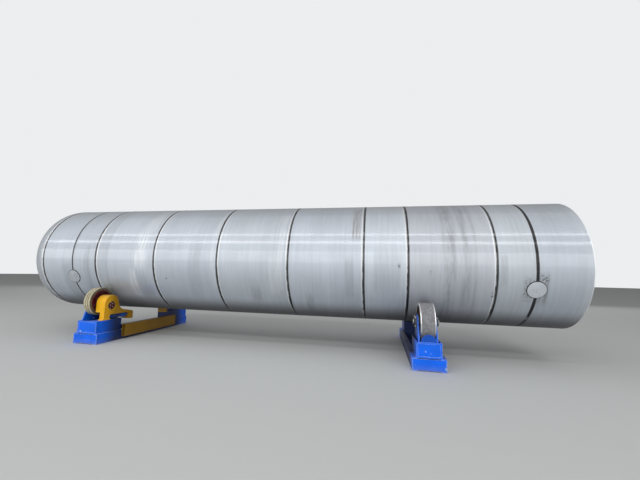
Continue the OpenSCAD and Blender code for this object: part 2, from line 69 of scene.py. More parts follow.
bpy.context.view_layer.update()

# %% [markdown]
# Everything is placed from the frame, never from a typed copy of a CAD place. The vessel's axis runs
# along X, so a course of the shell gives the axis height and the radius, and each wheel gives the place
# of its axle. The few sizes that no box shows, such as a plate's thickness, are named here in
# millimetres.

# %% Sizes that come from the frame
MM = 0.001
SHELL_T = 10 * MM
BEAD_W = 18 * MM
BEAD_H = 2.4 * MM
PAD_D = 300 * MM
PAD_ANGLE = math.radians(22.5)
FLANGE_T = 18 * MM
BEARING_L = 45 * MM
LIP_T = 6 * MM


def centre_of(node):
    low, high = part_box(node)
    return (low + high) / 2


def size_of(node):
    low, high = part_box(node)
    return high - low


COURSES = [f"course_{i}" for i in range(1, 11)]
RINGS = ["ring_left", "ring_right"]
STATIONS = ["drive_near", "drive_far", "idler_near", "idler_far"]
AXLES = {station: centre_of("wheel_" + station) for station in STATIONS}
AXIS_H = centre_of("course_3").z
SHELL_R = size_of("course_3").z / 2
HEAD_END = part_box("dished_head")[1].x
WHEEL_R = {station: size_of("tyre_" + station).z / 2 for station in STATIONS}
WHEEL_W = {station: size_of("wheel_" + station).x for station in STATIONS}
print("axis height", round(AXIS_H, 4), "shell radius", round(SHELL_R, 4), "wheel radii", WHEEL_R)

# %% [markdown]
# ## Small helpers
#
# A hex colour from a paint chart is sRGB, while Blender's sockets take linear light, so one function
# turns one into the other. A second function adds a shader node with its inputs and settings. A third
# makes a material, so each recipe below only lays out nodes and returns its shader.


# %% Colours and shader nodes
def linear(hex_colour):
    """The linear RGBA that an sRGB hex colour such as #c8ccd0 stands for."""
    channels = [int(hex_colour[i : i + 2], 16) / 255 for i in (1, 3, 5)]
    return (*(c / 12.92 if c <= 0.04045 else ((c + 0.055) / 1.055) ** 2.4 for c in channels), 1.0)


def add_node(tree, kind, inputs=None, settings=None):
    """Adds a shader node. An input is a value, a hex colour, a socket, or a node's first output."""
    node = tree.nodes.new("ShaderNode" + kind)
    for name, value in (settings or {}).items():
        setattr(node, name, value)
    for name, value in (inputs or {}).items():
        if isinstance(value, str):
            value = linear(value)
        elif isinstance(value, bpy.types.Node):
            value = value.outputs[0]
        if isinstance(value, bpy.types.NodeSocket):
            tree.links.new(value, node.inputs[name])
        else:
            node.inputs[name].default_value = value
    return node


SMOOTH = {"interpolation_type": "SMOOTHSTEP"}
TIMES = {"operation": "MULTIPLY"}
SCALED = {"operation": "SCALE"}


def make_material(name, recipe, *values, **named):
    """A material whose surface is the shader that a recipe lays out in its node tree."""
    material = bpy.data.materials.new(name)
    material.use_nodes = True
    material.node_tree.nodes.clear()
    shader = recipe(material.node_tree, *values, **named)
    add_node(material.node_tree, "OutputMaterial", {"Surface": shader})
    return material


def dress(material, *names):
    """Gives CAD nodes a finish through their objects' material slots."""
    for name in names:
        for slot in NODES[name].material_slots:
            slot.material = material


# %% [markdown]
# ## The camera
#
# The picture was taken with a very wide lens, standing a little right of the middle and only seven metres
# away. Such a view makes the vessel look like a barrel, so the lens and the distance matter more than any
# material. The angles are turns of the camera about its own axes, in the order in which a tripod head has
# them.

# %% Camera
CAMERA_PLACE = (2.469, -6.977, 1.5815)
CAMERA_YAW = math.radians(10.96)
CAMERA_PITCH = math.radians(6.53)
CAMERA_ROLL = math.radians(1.38)
camera_data = bpy.data.cameras.new("camera")
camera_data.sensor_width = 36
camera_data.lens = 16.81
camera = bpy.data.objects.new("camera", camera_data)
scene.collection.objects.link(camera)
camera.matrix_world = (
    Matrix.Translation(CAMERA_PLACE)
    @ Matrix.Rotation(CAMERA_YAW, 4, "Z")
    @ Matrix.Rotation(math.pi / 2 + CAMERA_PITCH, 4, "X")
    @ Matrix.Rotation(CAMERA_ROLL, 4, "Z")
)
scene.camera = camera
print("camera at", CAMERA_PLACE, "lens", camera_data.lens)

# %% [markdown]
# ## Studio
#
# A cylinder of metal shows its surroundings as lines along its length. Three long soft strips, hung
# parallel to the vessel behind the camera, give the three bright lines that daylight strips give in a
# workshop. A long panel in front of the vessel is the main light, and a wide lamp overhead is weaker, so
# that the shell is brightest on its near side and goes darker above and below. A weaker panel behind the
# vessel fills in its far side. The camera sees a plain pale sky, while every other ray meets a dim one,
# which keeps the shadow under the vessel.

# %% Floor and world
FLOOR_TONE = "#c2c4c4"
SKY_TONE = "#eceef0"


def pale_floor(tree):
    grain = add_node(tree, "TexNoise", {"Scale": 3.0, "Detail": 4.0})
    tone = add_node(tree, "MixRGB", {"Fac": grain, "Color1": FLOOR_TONE, "Color2": "#caccca"})
    return add_node(tree, "BsdfPrincipled", {"Base Color": tone, "Roughness": 0.85})


bpy.ops.mesh.primitive_plane_add(size=160, location=(0, 0, 0))
floor = bpy.context.object
floor.name = "floor"
floor.data.materials.append(make_material("pale_floor", pale_floor))
floor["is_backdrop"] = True

world = bpy.data.worlds.new("studio")
world.use_nodes = True
sky = world.node_tree
sky.nodes.clear()
ray = add_node(sky, "LightPath")
lit = add_node(sky, "Background", {"Color": "#ffffff", "Strength": 0.27})
shown = add_node(sky, "Background", {"Color": SKY_TONE, "Strength": 1.0})
mixed = add_node(sky, "MixShader", {0: ray.outputs["Is Camera Ray"], 1: lit, 2: shown})
add_node(sky, "OutputWorld", {"Surface": mixed})
scene.world = world
scene.view_settings.view_transform = "Standard"

# %% Lamps
MIDDLE_X = -3
PANEL_LENGTH = 44
FRONT_Y = -13.2
# Place along Y, height above the floor, width and watts
PANELS = {
    "front_panel": (FRONT_Y, 2.9, 4.6, 1150),
    "rear_panel": (15, 5, 5, 620),
    "high_strip": (FRONT_Y, 18.2, 0.9, 950),
    "middle_strip": (FRONT_Y, 10.9, 1.2, 980),
    "low_strip": (FRONT_Y, 5.35, 0.4, 200),
}


def soft_lamp(name, place, aim, size, watts):
    """A rectangular area lamp at a place, its long side along X, facing a point."""
    data = bpy.data.lights.new(name, "AREA")
    data.shape = "RECTANGLE"
    data.size, data.size_y = size
    data.energy = watts
    lamp = bpy.data.objects.new(name, data)
    scene.collection.objects.link(lamp)
    back = (Vector(place) - Vector(aim)).normalized()
    side = Vector((1, 0, 0))
    turned = Matrix((side, back.cross(side), back)).transposed().to_4x4()
    lamp.matrix_world = Matrix.Translation(place) @ turned


soft_lamp("overhead", (0, -3, 13), (0, 0, AXIS_H), (30, 12), 470)
for name, (y, height, width, watts) in PANELS.items():
    soft_lamp(name, (MIDDLE_X, y, height), (MIDDLE_X, 0, AXIS_H), (PANEL_LENGTH, width), watts)

# %% [markdown]
# ## Stainless plate
#
# The shell is hot rolled stainless steel, pickled and lightly brushed. Rolling the plate into a course
# leaves its grain running round the vessel, so the streaks are narrow along X and long round the axis: a
# noise that is squeezed along X. Real grit lines are a tenth of a millimetre apart. They are drawn 12 and
# 45 mm apart here, or the picture wouldn't show them. The anisotropy lets the grain spread each highlight
# along the vessel and keep it narrow across.
#
# Pickled plate is matt, yet it shows thin bright lines where a lamp is mirrored. So the metal is rough
# and a smooth clear coat lies over it. The coat ends on the belly, where grinding dust has settled. The
# colour also goes darker grey towards the bottom: that is painted shade.


# %% Patterns on the shell
def around_axis(tree):
    """The object's place, X along the vessel and the angle up from the near side, round the axis."""
    place = add_node(tree, "TexCoord").outputs["Object"]
    part = add_node(tree, "SeparateXYZ", {0: place})
    up = add_node(tree, "Math", {0: part.outputs["Z"], 1: AXIS_H}, {"operation": "SUBTRACT"})
    out = add_node(tree, "Math", {0: part.outputs["Y"], 1: -1.0}, TIMES)
    angle = add_node(tree, "Math", {0: up, 1: out}, {"operation": "ARCTAN2"})
    return place, part.outputs["X"], angle


def streaks(tree, place, pitch, length, seed, detail=3.0):
    """Noise in lines that run round the axis, a pitch apart along X and about a length long."""
    squeezed = add_node(tree, "Mapping", {
        "Vector": place, "Location": (seed, 0, 0), "Scale": (1 / pitch, 1 / length, 1 / length)})
    return add_node(tree, "TexNoise", {
        "Vector": squeezed, "Scale": 1.0, "Detail": detail, "Roughness": 0.6})


def patch(tree, x, angle, span, arc, soft):
    """1 inside a patch of the shell, with soft edges. The span is in metres, the arc in degrees."""
    low, high = (math.radians(a) for a in arc)
    turn = 4 * soft / SHELL_R
    shape = None
    for value, start, end, edge in ((x, *span, soft), (angle, low, high, turn)):
        for a, b in ((start - edge, start + edge), (end + edge, end - edge)):
            ramp = add_node(tree, "MapRange", {"Value": value, "From Min": a, "From Max": b}, SMOOTH)
            if shape is not None:
                ramp = add_node(tree, "Math", {0: shape, 1: ramp}, TIMES)
            shape = ramp
    return shape


def lighter_and_darker(tree, factors):
    """Multiplies noises, each stretched to run from a darkest to a lightest value."""
    shade = None
    for noise, darkest, lightest in factors:
        value = add_node(tree, "MapRange", {
            "Value": noise, "From Min": 0.3, "From Max": 0.7, "To Min": darkest, "To Max": lightest})
        if shade is not None:
            value = add_node(tree, "Math", {0: shade, 1: value}, TIMES)
        shade = value
    return shade


def uneven(tree, tone, factors):
    """A tone made lighter and darker by noises."""
    shade = lighter_and_darker(tree, factors)
    return add_node(tree, "VectorMath", {0: linear(tone)[:3], "Scale": shade}, SCALED)


# %% [markdown]
# A welded edge carries a band of heat tint, a dark oxide that stays until the vessel is pickled. It was
# left on one side of each seam, and the other side was brushed bright. The edges beside the support rings
# are only flame darkened. The open end is ground bright for the next weld, and its pale band is also a
# painted highlight along the rim. Each plate has had its own life too: wheel tracks, grinding scuffs and
# drips. The pale band on the knuckle of the head is a painted highlight. Each mark is one patch: its span
# along X in metres, its arc in degrees up from the near side, its soft edge, its tone, its strength and the
# pitch of its streaks, or 0 for blots.

# %% Edges and marks of the shell plates
EDGE_BANDS = {
    "tint": ("#222224", 32 * MM, 52 * MM),
    "brushed": ("#fafcff", 15 * MM, 32 * MM),
    "ring": ("#2e2e30", 6 * MM, 20 * MM),
    # The ground band also stands for a painted highlight along the rim of the open end.
    "ground": ("#fafcff", 5 * MM, 18 * MM),
}
TINT_LEFT = ("tint", 0.95), ("brushed", 0.8)
TINT_RIGHT = ("brushed", 0.8), ("tint", 0.95)
RING_SIDES = ("ring", 1.0), ("ring", 1.0)
THIN_RING_SIDES = ("ring", 0.4), ("ring", 0.4)
SEAM_SIDES = [(("brushed", 0.9), ("tint", 0.9)), THIN_RING_SIDES, TINT_LEFT, TINT_LEFT, TINT_LEFT,
              TINT_RIGHT, TINT_RIGHT, TINT_RIGHT, TINT_RIGHT, RING_SIDES, (("ground", 1.0), None)]
TRACK = "#72767c"
SCUFF = "#e9ecef"
STAIN = "#8d817c"
MARKS = {
    # Painted highlight: the pale band on the head's knuckle.
    "dished_head": [((-5.36, -5.315), (-90, 70), 12 * MM, SCUFF, 0.55, 0.0)],
    "course_1": [((-4.75, -4.5), (-60, -8), 30 * MM, TRACK, 0.2, 0.012)],
    "course_2": [((-4.15, -4.0), (-70, 10), 20 * MM, TRACK, 0.25, 0.02)],
    "course_3": [
        ((-2.84, -2.5), (-12, 26), 50 * MM, SCUFF, 0.8, 0.035),
        ((-2.72, -2.46), (26, 62), 50 * MM, SCUFF, 0.5, 0.03),
        ((-2.98, -2.8), (-46, -14), 24 * MM, SCUFF, 0.8, 0.03),
        ((-3.78, -3.5), (-180, 180), 30 * MM, TRACK, 0.18, 0.03),
        ((-2.8, -2.45), (-50, -20), 60 * MM, TRACK, 0.22, 0.05),
    ],
    "course_4": [
        ((-2.06, -2.03), (-23, -21), 6 * MM, "#3c3c3e", 0.9, 0.0),
        ((-1.5, -1.2), (-40, 10), 60 * MM, TRACK, 0.16, 0.03),
        ((-0.98, -0.86), (-30, 60), 22 * MM, SCUFF, 0.4, 0.03),
    ],
    "course_5": [
        ((0.3, 0.52), (-36, 0), 20 * MM, SCUFF, 0.35, 0.03),
        ((-0.1, 0.1), (-44, -28), 26 * MM, TRACK, 0.3, 0.02),
        ((0.5, 0.62), (-30, 50), 16 * MM, SCUFF, 0.45, 0.02),
    ],
    "course_6": [
        ((1.98, 2.14), (18, 62), 22 * MM, STAIN, 0.55, 0.02),
        ((1.05, 1.2), (-62, -34), 26 * MM, TRACK, 0.35, 0.03),
        ((1.85, 2.02), (-36, 0), 20 * MM, TRACK, 0.22, 0.015),
    ],
    "course_7": [
        ((2.84, 2.89), (-7, -3), 8 * MM, "#55565a", 0.7, 0.0),
        ((2.4, 2.9), (-28, 6), 30 * MM, TRACK, 0.16, 0.02),
    ],
    "course_8": [
        ((3.66, 3.86), (-180, 180), 70 * MM, TRACK, 0.42, 0.08),
        ((3.96, 4.1), (-180, 180), 60 * MM, TRACK, 0.34, 0.07),
        ((4.15, 4.22), (-180, 180), 40 * MM, TRACK, 0.26, 0.05),
        ((3.405, 3.43), (-12, -9), 6 * MM, "#55565a", 0.7, 0.0),
        ((4.46, 4.53), (-31, -25), 8 * MM, "#2b2827", 0.9, 0.0),
    ],
    "course_9": [
        ((4.58, 4.7), (-20, 5), 20 * MM, TRACK, 0.25, 0.015),
        ((4.96, 5.12), (-32, -14), 24 * MM, "#55555a", 0.55, 0.0),
    ],
    "course_10": [
        ((5.06, 5.34), (-18, -10), 20 * MM, "#4c4c50", 0.75, 0.0),
        ((5.05, 5.34), (-36, -19), 24 * MM, "#5c5c60", 0.6, 0.03),
        ((5.9, 5.99), (-80, 60), 30 * MM, SCUFF, 0.25, 0.03),
    ],
}


# %% Shell plate
def shell_plate(tree, edges, tone, seed, marks, dished=False):
    """Stainless plate. Each edge is its place along X, its kind of band and how strong that is."""
    place, x, angle = around_axis(tree)
    run = place
    if dished:
        part = add_node(tree, "SeparateXYZ", {0: place})
        foot = add_node(tree, "CombineXYZ", {"X": x, "Z": AXIS_H})
        from_axis = add_node(tree, "VectorMath", {0: place, 1: foot}, {"operation": "DISTANCE"})
        outwards = add_node(tree, "Math", {0: x, 1: from_axis.outputs["Value"]}, {"operation": "ADD"})
        run = add_node(tree, "CombineXYZ", {
            "X": outwards, "Y": part.outputs["Y"], "Z": part.outputs["Z"]})
    fine = streaks(tree, run, 12 * MM, 0.5, seed)
    lines = streaks(tree, run, 45 * MM, 1.2, seed + 3)
    bands = streaks(tree, run, 0.26, 3.0, seed + 7)
    clouds = add_node(tree, "TexNoise", {"Vector": place, "Scale": 1.7, "Detail": 5.0, "Roughness": 0.6})
    colour = uneven(tree, tone, (
        (fine, 0.98, 1.02), (lines, 0.975, 1.02), (bands, 0.965, 1.03), (clouds, 0.965, 1.03)))
    rough = lighter_and_darker(tree, ((lines, 0.74, 0.7), (fine, 1.02, 0.98)))
    height = add_node(tree, "Math", {0: angle}, {"operation": "SINE"})
    film = add_node(tree, "MapRange", {"Value": height, "From Min": -0.8, "From Max": -0.4}, SMOOTH)
    film = lighter_and_darker(tree, ((bands, 0.8, 1.0), (clouds, 0.85, 1.0), (film, 0.0, 1.0)))
    for span, arc, soft, mark_tone, amount, pitch in marks:
        shape = patch(tree, x, angle, span, arc, soft)
        if pitch:
            broken = streaks(tree, run, pitch, 0.45, seed + 11 + span[0], 5.0)
        else:
            broken = add_node(tree, "TexNoise", {"Vector": place, "Scale": 30.0, "Detail": 3.0})
        worn = add_node(tree, "MapRange", {
            "Value": broken, "From Min": 0.42, "From Max": 0.62, "To Min": 0.1, "To Max": amount})
        cover = add_node(tree, "Math", {0: shape, 1: worn}, TIMES)
        colour = add_node(tree, "MixRGB", {"Fac": cover, "Color1": colour, "Color2": mark_tone})
    for edge_x, kind, amount in edges:
        band_tone, full, gone = EDGE_BANDS[kind]
        away = add_node(tree, "Math", {0: x, 1: edge_x}, {"operation": "SUBTRACT"})
        away = add_node(tree, "Math", {0: away}, {"operation": "ABSOLUTE"})
        ragged = add_node(tree, "MapRange", {"Value": clouds, "To Min": -8 * MM, "To Max": 8 * MM})
        away = add_node(tree, "Math", {0: away, 1: ragged}, {"operation": "ADD"})
        band = add_node(tree, "MapRange", {
            "Value": away, "From Min": full, "From Max": gone, "To Min": amount, "To Max": 0.0}, SMOOTH)
        colour = add_node(tree, "MixRGB", {"Fac": band, "Color1": colour, "Color2": band_tone})
    # Painted shade: the plate goes darker grey towards the bottom of the vessel.
    dust = add_node(tree, "MapRange", {
        "Value": height, "From Min": -0.66, "From Max": -0.93, "To Max": 0.85}, SMOOTH)
    colour = add_node(tree, "MixRGB", {"Fac": dust, "Color1": colour, "Color2": "#666668"})
    waves = streaks(tree, place, 1.1, 2.0, seed, 1.0)
    wavy = add_node(tree, "Bump", {"Height": waves, "Strength": 1.0, "Distance": 0.5 * MM})
    grain = add_node(tree, "Bump", {
        "Height": fine, "Strength": 0.3, "Distance": 0.2 * MM, "Normal": wavy})
    along = add_node(tree, "CombineXYZ", {"X": 1.0})
    return add_node(tree, "BsdfPrincipled", {
        "Base Color": colour, "Metallic": 1.0, "Roughness": rough, "Anisotropic": 0.3,
        "Tangent": along, "Normal": grain,
        "Coat Weight": film, "Coat Roughness": 0.14, "Coat IOR": 1.6, "Coat Normal": wavy})


PLATE_TONES = ["#cad0d8", "#c8ced6", "#ccd2da", "#cbd1d9", "#cdd3da",
               "#ced4dc", "#d4dae1", "#cbcfd6", "#cdd3d9", "#c8ced6"]
for i, name in enumerate(COURSES):
    low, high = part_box(name)
    edges = [(low.x, *SEAM_SIDES[i][1]), (high.x, *SEAM_SIDES[i + 1][0])]
    plate = make_material(
        f"stainless_plate_{i + 1}", shell_plate, edges, PLATE_TONES[i], 13.7 * i, MARKS[name])
    dress(plate, name)
edges = [(HEAD_END, *SEAM_SIDES[0][0])]
head = make_material(
    "spun_stainless_head", shell_plate, edges, "#babfc6", 5.1, MARKS["dished_head"], dished=True)
dress(head, "dished_head")
print("plates finished:", len(COURSES))

# %% [markdown]
# The support rings are thick plate that runs through the shell, still black with mill scale. The bead of a
# girth weld is clean metal, bright on the upper half of the vessel and dark in patches below, which is
# heat tint and painted shade. Its real ripples are 4 mm apart: those are in the bump, over modelled ones
# 13 mm apart.


# %% Rings and weld metal
RIPPLE = 4 * MM
RING_GAP = (4.9, 5.4), (-57, -52)


def scaled_ring(tree):
    """Thick plate with mill scale, and a gap in the scale where it was ground near the floor side."""
    place, x, angle = around_axis(tree)
    scale = add_node(tree, "TexNoise", {
        "Vector": place, "Scale": 16.0, "Detail": 6.0, "Roughness": 0.65})
    tone = add_node(tree, "MixRGB", {"Fac": scale, "Color1": "#1d1d1f", "Color2": "#454547"})
    bright = patch(tree, x, angle, *RING_GAP, 6 * MM)
    ground = add_node(tree, "MixRGB", {"Fac": bright, "Color1": tone, "Color2": "#a7a9ab"})
    rough = lighter_and_darker(tree, ((scale, 0.7, 0.5),))
    bump = add_node(tree, "Bump", {"Height": scale, "Strength": 0.5, "Distance": 0.6 * MM})
    return add_node(tree, "BsdfPrincipled", {
        "Base Color": ground, "Metallic": 0.6, "Roughness": rough, "Normal": bump})


def weld_metal(tree, bright_tone, tint_tone):
    """Bare weld bead. Its ripples run across it, so they are bands of the angle round the axis."""
    place, _, angle = around_axis(tree)
    spots = add_node(tree, "TexNoise", {"Vector": place, "Scale": 9.0, "Detail": 5.0})
    # Painted shade, in patches of tint: the bead goes darker towards the bottom of the vessel.
    low = add_node(tree, "MapRange", {
        "Value": angle, "From Min": 0.25, "From Max": -0.3, "To Min": 0.1, "To Max": 0.95}, SMOOTH)
    tint = add_node(tree, "MapRange", {"Value": spots, "From Min": 0.35, "From Max": 0.6})
    cover = add_node(tree, "Math", {0: low, 1: tint}, TIMES)
    colour = add_node(tree, "MixRGB", {"Fac": cover, "Color1": bright_tone, "Color2": tint_tone})
    turns = add_node(tree, "Math", {0: angle, 1: 2 * math.pi * SHELL_R / RIPPLE}, TIMES)
    wave = add_node(tree, "Math", {0: turns}, {"operation": "SINE"})
    bump = add_node(tree, "Bump", {"Height": wave, "Strength": 0.6, "Distance": 0.3 * MM})
    return add_node(tree, "BsdfPrincipled", {
        "Base Color": colour, "Metallic": 1.0, "Roughness": 0.28, "Normal": bump})


def pad_plate(tree):
    """Round pad of the same plate as the shell, blotched by handling, and newer at the right ring."""
    place, x, _ = around_axis(tree)
    brushed = streaks(tree, place, 18 * MM, 0.3, 2.5)
    newer = add_node(tree, "MapRange", {
        "Value": x, "From Min": -1.0, "From Max": 1.0, "To Min": 1.0, "To Max": 1.2})
    clouds = add_node(tree, "TexNoise", {"Vector": place, "Scale": 8.0, "Detail": 5.0})
    colour = uneven(tree, "#cdd2d8", ((brushed, 0.95, 1.05), (clouds, 0.88, 1.06)))
    colour = add_node(tree, "VectorMath", {0: colour, "Scale": newer}, SCALED)
    rough = lighter_and_darker(tree, ((clouds, 0.6, 0.5),))
    return add_node(tree, "BsdfPrincipled", {"Base Color": colour, "Metallic": 1.0, "Roughness": rough})


bead_metal = make_material("stainless_weld_bead", weld_metal, "#b9babc", "#2c2a2a")
dark_bead_metal = make_material("heat_tinted_weld_bead", weld_metal, "#504e4e", "#262425")
for name in RINGS:
    dress(make_material("mill_scale_" + name, scaled_ring), name)
dress(make_material("plasma_cut_pad", pad_plate), "support_pads")
dress(bead_metal, "girth_welds", "lengthwise_welds")

# %% [markdown]
# ## Enamel on the roll stands
#
# The stands are welded steel under a brushed coat of gloss enamel. Enamel is thin at sharp edges, where it
# wears through first, so a bevel node finds the edges: where its rounded normal leaves the flat one, the
# paint is scuffed pale. That pale edge is partly wear and partly a painted highlight. Workshop dust lies
# on whatever faces up and splashes stain what is near the floor.
# What stands under the vessel is painted darker towards black: that is painted shade.


# %% Enamel
SPLASH_H = 120 * MM
# Painted shade: enamel under the vessel darkens towards black between these distances.
GRIME_FADES, GRIME_FULL = 1.42, 1.02  # metres from the line under the vessel's axis


def enamel(tree, tone, worn_tone, dust, wear=7 * MM, roughness=0.36, seed=0.0, edge_wear=0.9, grime=0.5):
    """Brushed enamel: edges with wear and painted highlight, dusty tops, floor splashes, painted shade under
    the vessel.
    """
    coord = add_node(tree, "TexCoord")
    place = coord.outputs["Object"]
    moved = add_node(tree, "Mapping", {"Vector": place, "Location": (seed, seed, 0)})
    fade = add_node(tree, "TexNoise", {"Vector": moved, "Scale": 4.0, "Detail": 5.0})
    spots = add_node(tree, "TexNoise", {"Vector": moved, "Scale": 34.0, "Detail": 6.0, "Roughness": 0.7})
    colour = uneven(tree, tone, ((fade, 0.86, 1.1), (spots, 0.94, 1.05)))
    drawn = add_node(tree, "Mapping", {
        "Vector": moved, "Rotation": (0.4, 0.9, 0.2), "Scale": (9, 160, 9)})
    scratch = add_node(tree, "TexNoise", {"Vector": drawn, "Scale": 1.0, "Detail": 2.0})
    scratched = add_node(tree, "MapRange", {
        "Value": scratch, "From Min": 0.68, "From Max": 0.74, "To Max": 0.55})
    # Pale edges: partly wear, partly a painted highlight along every edge.
    rounded = add_node(tree, "Bevel", {"Radius": wear}, {"samples": 4})
    flat = add_node(tree, "NewGeometry").outputs["Normal"]
    bend = add_node(tree, "VectorMath", {0: rounded, 1: flat}, {"operation": "DOT_PRODUCT"}).outputs["Value"]
    edge = add_node(tree, "MapRange", {
        "Value": bend, "From Min": 0.985, "From Max": 0.86, "To Max": edge_wear})
    chipped = add_node(tree, "MapRange", {
        "Value": spots, "From Min": 0.4, "From Max": 0.56, "To Min": 0.4})
    worn = add_node(tree, "Math", {0: edge, 1: chipped}, TIMES)
    worn = add_node(tree, "Math", {0: worn, 1: scratched}, {"operation": "MAXIMUM"})
    colour = add_node(tree, "MixRGB", {"Fac": worn, "Color1": colour, "Color2": worn_tone})
    up = add_node(tree, "SeparateXYZ", {0: coord.outputs["Normal"]}).outputs["Z"]
    lying = add_node(tree, "MapRange", {"Value": up, "From Min": 0.45, "From Max": 0.95, "To Max": dust})
    part = add_node(tree, "SeparateXYZ", {0: place})
    splash = add_node(tree, "MapRange", {
        "Value": part.outputs["Z"], "From Min": SPLASH_H, "From Max": 0.0, "To Max": 0.4})
    dirty = add_node(tree, "Math", {0: lying, 1: splash}, {"operation": "MAXIMUM"})
    cloudy = add_node(tree, "MapRange", {
        "Value": fade, "From Min": 0.35, "From Max": 0.62, "To Min": 0.3})
    dirty = add_node(tree, "Math", {0: dirty, 1: cloudy}, TIMES)
    colour = add_node(tree, "MixRGB", {"Fac": dirty, "Color1": colour, "Color2": "#8f8a80"})
    # Painted shade: enamel under the vessel is darkened towards black, as the shade of the vessel.
    across = add_node(tree, "Math", {0: part.outputs["Y"]}, {"operation": "ABSOLUTE"})
    below = add_node(tree, "MapRange", {
        "Value": across, "From Min": GRIME_FADES, "From Max": GRIME_FULL, "To Max": grime}, SMOOTH)
    colour = add_node(tree, "MixRGB", {"Fac": below, "Color1": colour, "Color2": "#1c1b1a"})
    rough = add_node(tree, "MapRange", {"Value": dirty, "To Min": roughness, "To Max": 0.95})
    brush = add_node(tree, "Bump", {"Height": spots, "Strength": 0.35, "Distance": 0.25 * MM})
    return add_node(tree, "BsdfPrincipled", {
        "Base Color": colour, "Roughness": rough, "Specular IOR Level": 0.3, "Normal": brush})


# Pale tone of the edges, for wear and for a painted highlight.
BARE = "#bfd3de"
blue = make_material(
    "blue_gloss_enamel", enamel, "#0067ee", BARE, dust=0.35, wear=9 * MM, grime=0.88)
# Painted shade: the guards get a darker copy of the blue, for the shade of the wheels over them.
guard_blue = make_material(
    "blue_greasy_enamel", enamel, "#004cb4", BARE, dust=0.2, seed=24.0, edge_wear=0.4, grime=0.6)
motor_blue = make_material(
    "blue_motor_enamel", enamel, "#1a6fe0", "#a9b2bb", dust=0.45, roughness=0.45, seed=4.0)
yellow = make_material(
    "yellow_gloss_enamel", enamel, "#f8b90c", "#f9e4b4", dust=0.3, seed=8.0, edge_wear=0.4, grime=0.6)
# Painted shade: the cross beam under the vessel gets a darker copy of the yellow.
oily_yellow = make_material(
    "yellow_oily_enamel", enamel, "#d29c0c", "#6d6a63", dust=0.3, roughness=0.5, seed=12.0, grime=0.62)
maroon = make_material(
    "maroon_oxide_primer", enamel, "#5e1220", "#8d8480", dust=0.05, roughness=0.6, seed=16.0, grime=0.2)
casting = make_material(
    "cast_iron_enamel", enamel, "#4b525a", "#a8a49c", dust=0.7, roughness=0.55, seed=20.0)
dress(guard_blue, "guard_near", "guard_far")
dress(blue, "channels_drive", "channels_idler", "ties_drive", "ties_idler",
      "seat_drive_near", "seat_drive_far", "seat_idler_near", "seat_idler_far")
dress(motor_blue, "motor_near", "motor_far")
dress(yellow, "gearbox_near", "gearbox_far")
dress(oily_yellow, "cross_beam")
dress(casting, "bearings_drive", "bearings_idler")
dress(maroon, "wheel_drive_near", "wheel_drive_far")

# %% [markdown]
# ## Wheels, tyres and bare steel
#
# The drive tyres are cast polyurethane, cream when new. The idler tyres have picked up metal dust, and
# their steel side rims are polished by the shell. All this wear runs round the wheel, so each recipe
# measures the distance from its own axle and squeezes its noise along X as on the shell.


# %% Tyre and wheel finishes
LATHE_PITCH = 2 * MM


def distance_from_axle(tree, place, station):
    """Distance of the surface from a wheel's axle."""
    part = add_node(tree, "SeparateXYZ", {0: place})
    foot = add_node(tree, "CombineXYZ", {
        "X": part.outputs["X"], "Y": AXLES[station].y, "Z": AXLES[station].z})
    return add_node(tree, "VectorMath", {0: place, 1: foot}, {"operation": "DISTANCE"}).outputs["Value"]


def tyre_rubber(tree, station, tone, dirt_tone, dirt, seed):
    """Cast polyurethane with rolled-in dirt and darker grooves."""
    place = add_node(tree, "TexCoord").outputs["Object"]
    rolled = streaks(tree, place, 9 * MM, 0.25, seed)
    bands = streaks(tree, place, 60 * MM, 0.6, seed + 5)
    blots = add_node(tree, "TexNoise", {"Vector": place, "Scale": 22.0, "Detail": 6.0})
    colour = uneven(tree, tone, ((rolled, 0.86, 1.1), (bands, 0.88, 1.1)))
    soiled = add_node(tree, "MapRange", {
        "Value": blots, "From Min": 0.42, "From Max": 0.68, "To Max": dirt})
    colour = add_node(tree, "MixRGB", {"Fac": soiled, "Color1": colour, "Color2": dirt_tone})
    radius = distance_from_axle(tree, place, station)
    groove = add_node(tree, "MapRange", {
        "Value": radius, "From Min": WHEEL_R[station] - 3 * MM, "From Max": WHEEL_R[station] - 10 * MM,
        "To Max": 0.85})
    colour = add_node(tree, "MixRGB", {"Fac": groove, "Color1": colour, "Color2": "#403c30"})
    bump = add_node(tree, "Bump", {"Height": blots, "Strength": 0.5, "Distance": 0.8 * MM})
    return add_node(tree, "BsdfPrincipled", {
        "Base Color": colour, "Roughness": 0.72, "IOR": 1.5, "Normal": bump})


def wheel_steel(tree, station):
    """Machined cast steel: the rim polished by use, and all inside it dull with flash rust."""
    place = add_node(tree, "TexCoord").outputs["Object"]
    radius = distance_from_axle(tree, place, station)
    rust = add_node(tree, "TexNoise", {"Vector": place, "Scale": 14.0, "Detail": 6.0})
    rim = add_node(tree, "MapRange", {
        "Value": radius, "From Min": WHEEL_R[station] - 60 * MM, "From Max": WHEEL_R[station] - 42 * MM})
    dull = add_node(tree, "MixRGB", {"Fac": rust, "Color1": "#6b665f", "Color2": "#7d6350"})
    colour = add_node(tree, "MixRGB", {"Fac": rim, "Color1": dull, "Color2": "#f6f7f7"})
    turns = add_node(tree, "Math", {0: radius, 1: 2 * math.pi / LATHE_PITCH}, TIMES)
    turned = add_node(tree, "Math", {0: turns}, {"operation": "SINE"})
    bump = add_node(tree, "Bump", {"Height": turned, "Strength": 0.3, "Distance": 0.1 * MM})
    rough = add_node(tree, "MapRange", {"Value": rim, "To Min": 0.6, "To Max": 0.42})
    return add_node(tree, "BsdfPrincipled", {
        "Base Color": colour, "Metallic": 1.0, "Roughness": rough, "Normal": bump})


